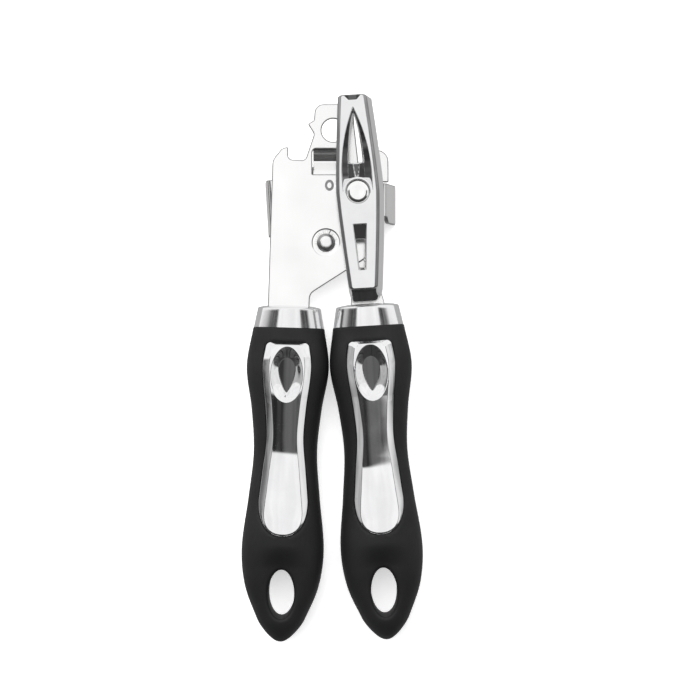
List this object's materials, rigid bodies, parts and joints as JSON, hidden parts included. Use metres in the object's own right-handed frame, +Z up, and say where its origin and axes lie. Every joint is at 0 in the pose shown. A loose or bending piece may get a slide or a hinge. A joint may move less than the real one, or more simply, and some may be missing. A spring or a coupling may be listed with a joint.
{
  "type": "manual can opener",
  "caption": "Hand can opener with a butterfly turning key, toothed feed wheel, cutting wheel, crown-cap hook and soft grips with chrome inlays.",
  "frame": {"origin": "on the table, under the middle of the opener's outline, with the opener lying on its back and its handles closed", "axes": "+X to the right, across the handles; +Y from the handles to the head; +Z up, from the back to the turning key"},
  "size_m": [0.0687, 0.2059, 0.0308],
  "materials": {
    "plated_steel": "bright nickel-plated sheet steel",
    "chrome": "mirror chrome",
    "tool_steel": "hardened, satin",
    "grip_rubber": "soft-touch matt black",
    "core_plastic": "moulded black"
  },
  "bodies": {
    "left_lever": {"front_plate": "plated_steel", "left_grip": "grip_rubber", "left_core": "core_plastic", "left_ferrule": "chrome", "left_inlay": "chrome", "left_tang_rivet_upper": "tool_steel", "left_tang_rivet_lower": "tool_steel", "pivot_rivet": "plated_steel", "pivot_washer": "plated_steel", "rivet_backing_washer": "plated_steel", "key_bushing": "tool_steel"},
    "right_lever": {"rear_plate": "plated_steel", "right_grip": "grip_rubber", "right_core": "core_plastic", "right_ferrule": "chrome", "right_inlay": "chrome", "right_tang_rivet_upper": "tool_steel", "right_tang_rivet_lower": "tool_steel", "cutter_stud": "plated_steel", "cutter_spacer": "plated_steel", "cutter_wave_washer": "tool_steel"},
    "key": {"turn_key": "chrome", "key_shaft": "plated_steel", "key_spring_washer": "tool_steel", "feed_wheel_washer": "tool_steel", "feed_wheel": "tool_steel"},
    "cutter": {"cutter_wheel": "tool_steel"}
  },
  "joints": [
    {"name": "handle_pivot", "type": "hinge", "parent": "left_lever", "child": "right_lever", "pos_m": [-0.0024, 0.0486, 0], "axis": [0, 0, 1], "range_deg": [0, 50]},
    {"name": "key_spin", "type": "hinge", "parent": "left_lever", "child": "key", "pos_m": [0.0096, 0.0664, 0], "axis": [0, 0, 1], "continuous": true},
    {"name": "cutter_spin", "type": "hinge", "parent": "right_lever", "child": "cutter", "pos_m": [-0.0063, 0.0679, 0], "axis": [0, 0, 1], "continuous": true}
  ]
}
